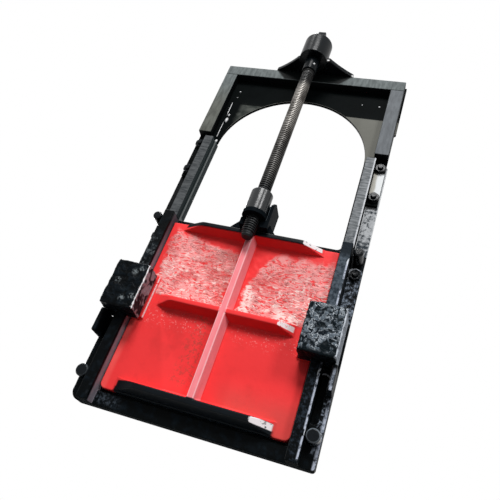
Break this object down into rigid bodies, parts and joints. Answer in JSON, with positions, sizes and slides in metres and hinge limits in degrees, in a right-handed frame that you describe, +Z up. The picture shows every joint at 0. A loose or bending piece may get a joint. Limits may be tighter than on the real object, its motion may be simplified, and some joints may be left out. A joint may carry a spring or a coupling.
{
  "type": "sluice gate",
  "caption": "Wall-mounted sluice gate: a ribbed red leaf slides up in a black cast frame with wedge blocks, raised by a threaded stem under a bracketed yoke.",
  "frame": {"origin": "middle of the frame's bottom edge, on the back face that sits against the wall", "axes": "+Z up along the stem, +Y back into the wall, +X to the right seen from the front"},
  "size_m": [0.522, 0.1238, 1.146],
  "materials": {
    "black_casting": "glossy black coating over a rough casting",
    "black_steel": "black paint, dusty where lit",
    "red_casting": "glossy red paint over a casting",
    "stem_steel": "turned steel with a trapezoidal thread",
    "fastener": "black painted steel"
  },
  "bodies": {
    "frame": {"arch_plate": "black_steel", "left_block_cheek": "black_casting", "left_high_stud": "fastener", "left_low_stud": "fastener", "left_lower_bolt": "fastener", "left_middle_bolt": "fastener", "left_post": "black_steel", "left_rail": "black_casting", "left_upper_bolt": "fastener", "left_wedge_block": "black_casting", "lower_frame": "black_casting", "right_block_cheek": "black_casting", "right_high_stud": "fastener", "right_low_stud": "fastener", "right_lower_bolt": "fastener", "right_middle_bolt": "fastener", "right_post": "black_steel", "right_rail": "black_casting", "right_upper_bolt": "fastener", "right_wedge_block": "black_casting", "stem_bracket": "black_casting", "top_beam": "black_steel"},
    "gate": {"gate_leaf": "red_casting", "nut_lug": "black_casting", "nut_flange": "black_casting", "stem_nut": "black_casting"},
    "stem": {"stem": "stem_steel", "stem_collar": "black_steel"}
  },
  "joints": [
    {"name": "stem_spin", "type": "hinge", "parent": "frame", "child": "stem", "pos_m": [0, -0.0848, 0.7], "axis": [0, 0, 1], "range_deg": [0, 23040]},
    {"name": "gate_lift", "type": "slide", "parent": "frame", "child": "gate", "axis": [0, 0, 1], "range_m": [0, 0.384]}
  ],
  "couplings": [
    {"joint": "gate_lift", "follows": "stem_spin", "m_per_rad": 0.00095493}
  ]
}
